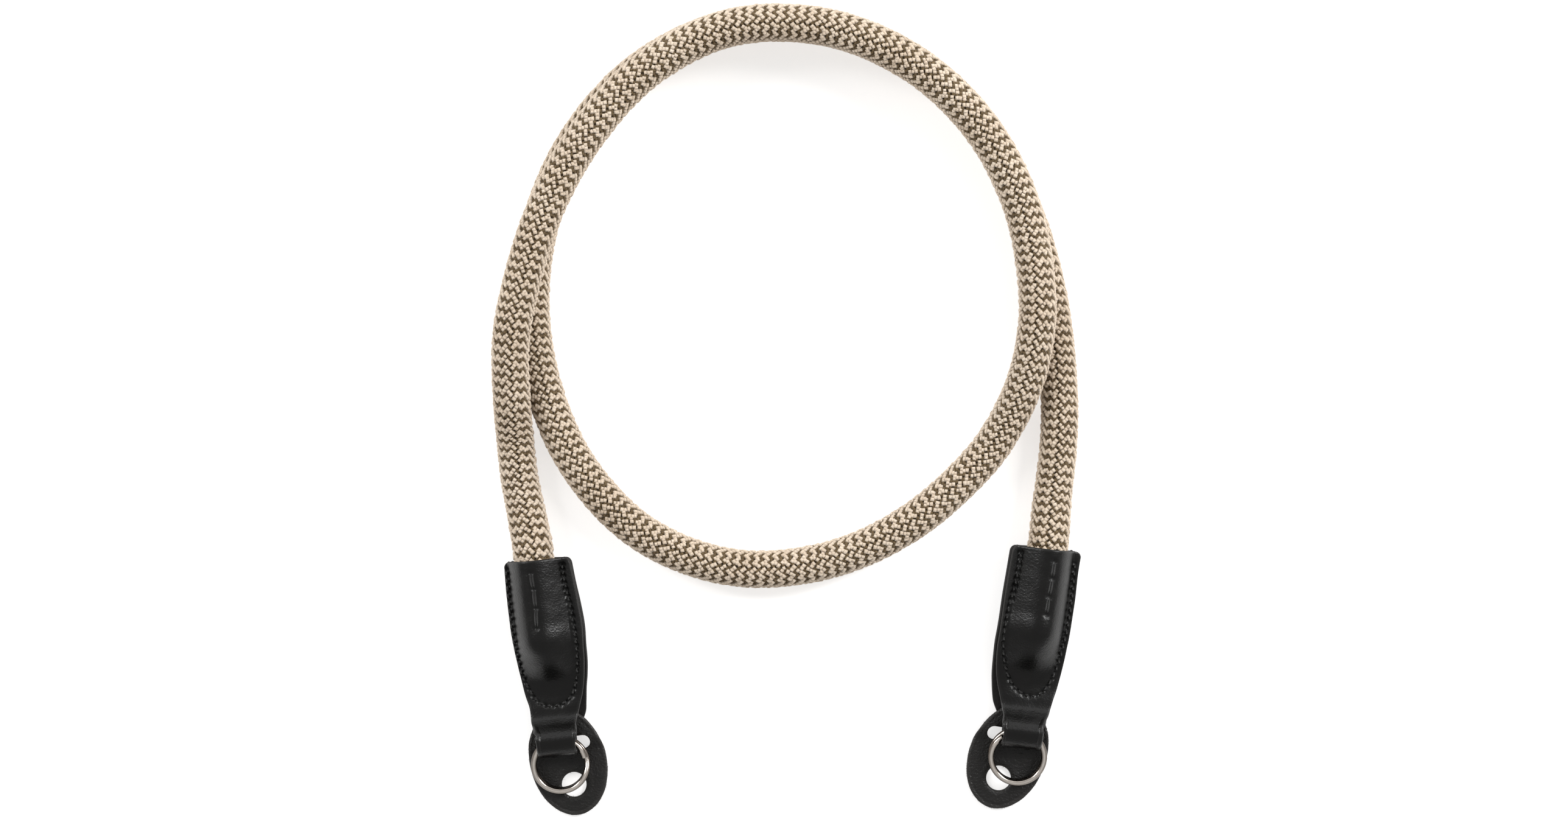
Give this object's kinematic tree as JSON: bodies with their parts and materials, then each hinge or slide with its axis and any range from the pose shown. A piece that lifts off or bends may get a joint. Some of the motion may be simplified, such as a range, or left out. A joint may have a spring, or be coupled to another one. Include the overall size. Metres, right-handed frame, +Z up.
{
  "type": "camera neck strap",
  "caption": "Braided rope neck strap lying in two loops, with black leather ends, a split ring in each fold and an oval guard flap under each ring.",
  "frame": {"origin": "centre of the bounding box, on the surface that the strap lies on", "axes": "+Z up, +Y from the two leather ends towards the closed end of the loops, +X towards the right-hand leather end"},
  "size_m": [0.1515, 0.2106, 0.0198],
  "materials": {
    "braided_rope": "braided, matte",
    "black_leather": "smooth, semi-gloss",
    "black_flap_leather": "fine grain, matte",
    "ring_metal": "polished"
  },
  "bodies": {
    "strap": {"neck_rope": "braided_rope", "leather_end_left": "black_leather", "leather_end_right": "black_leather", "guard_flap_left": "black_flap_leather", "guard_flap_right": "black_flap_leather"},
    "ring_left": {"split_ring_left": "ring_metal"},
    "ring_right": {"split_ring_right": "ring_metal"}
  },
  "joints": [
    {"name": "ring_left_swing", "type": "hinge", "parent": "strap", "child": "ring_left", "pos_m": [-0.05938, -0.08497, 0.0048], "axis": [-0.9952, -0.0976, 0], "range_deg": [0, 100]},
    {"name": "ring_right_swing", "type": "hinge", "parent": "strap", "child": "ring_right", "pos_m": [0.06065, -0.08284, 0.0048], "axis": [-0.993, 0.1184, 0], "range_deg": [0, 100]}
  ]
}
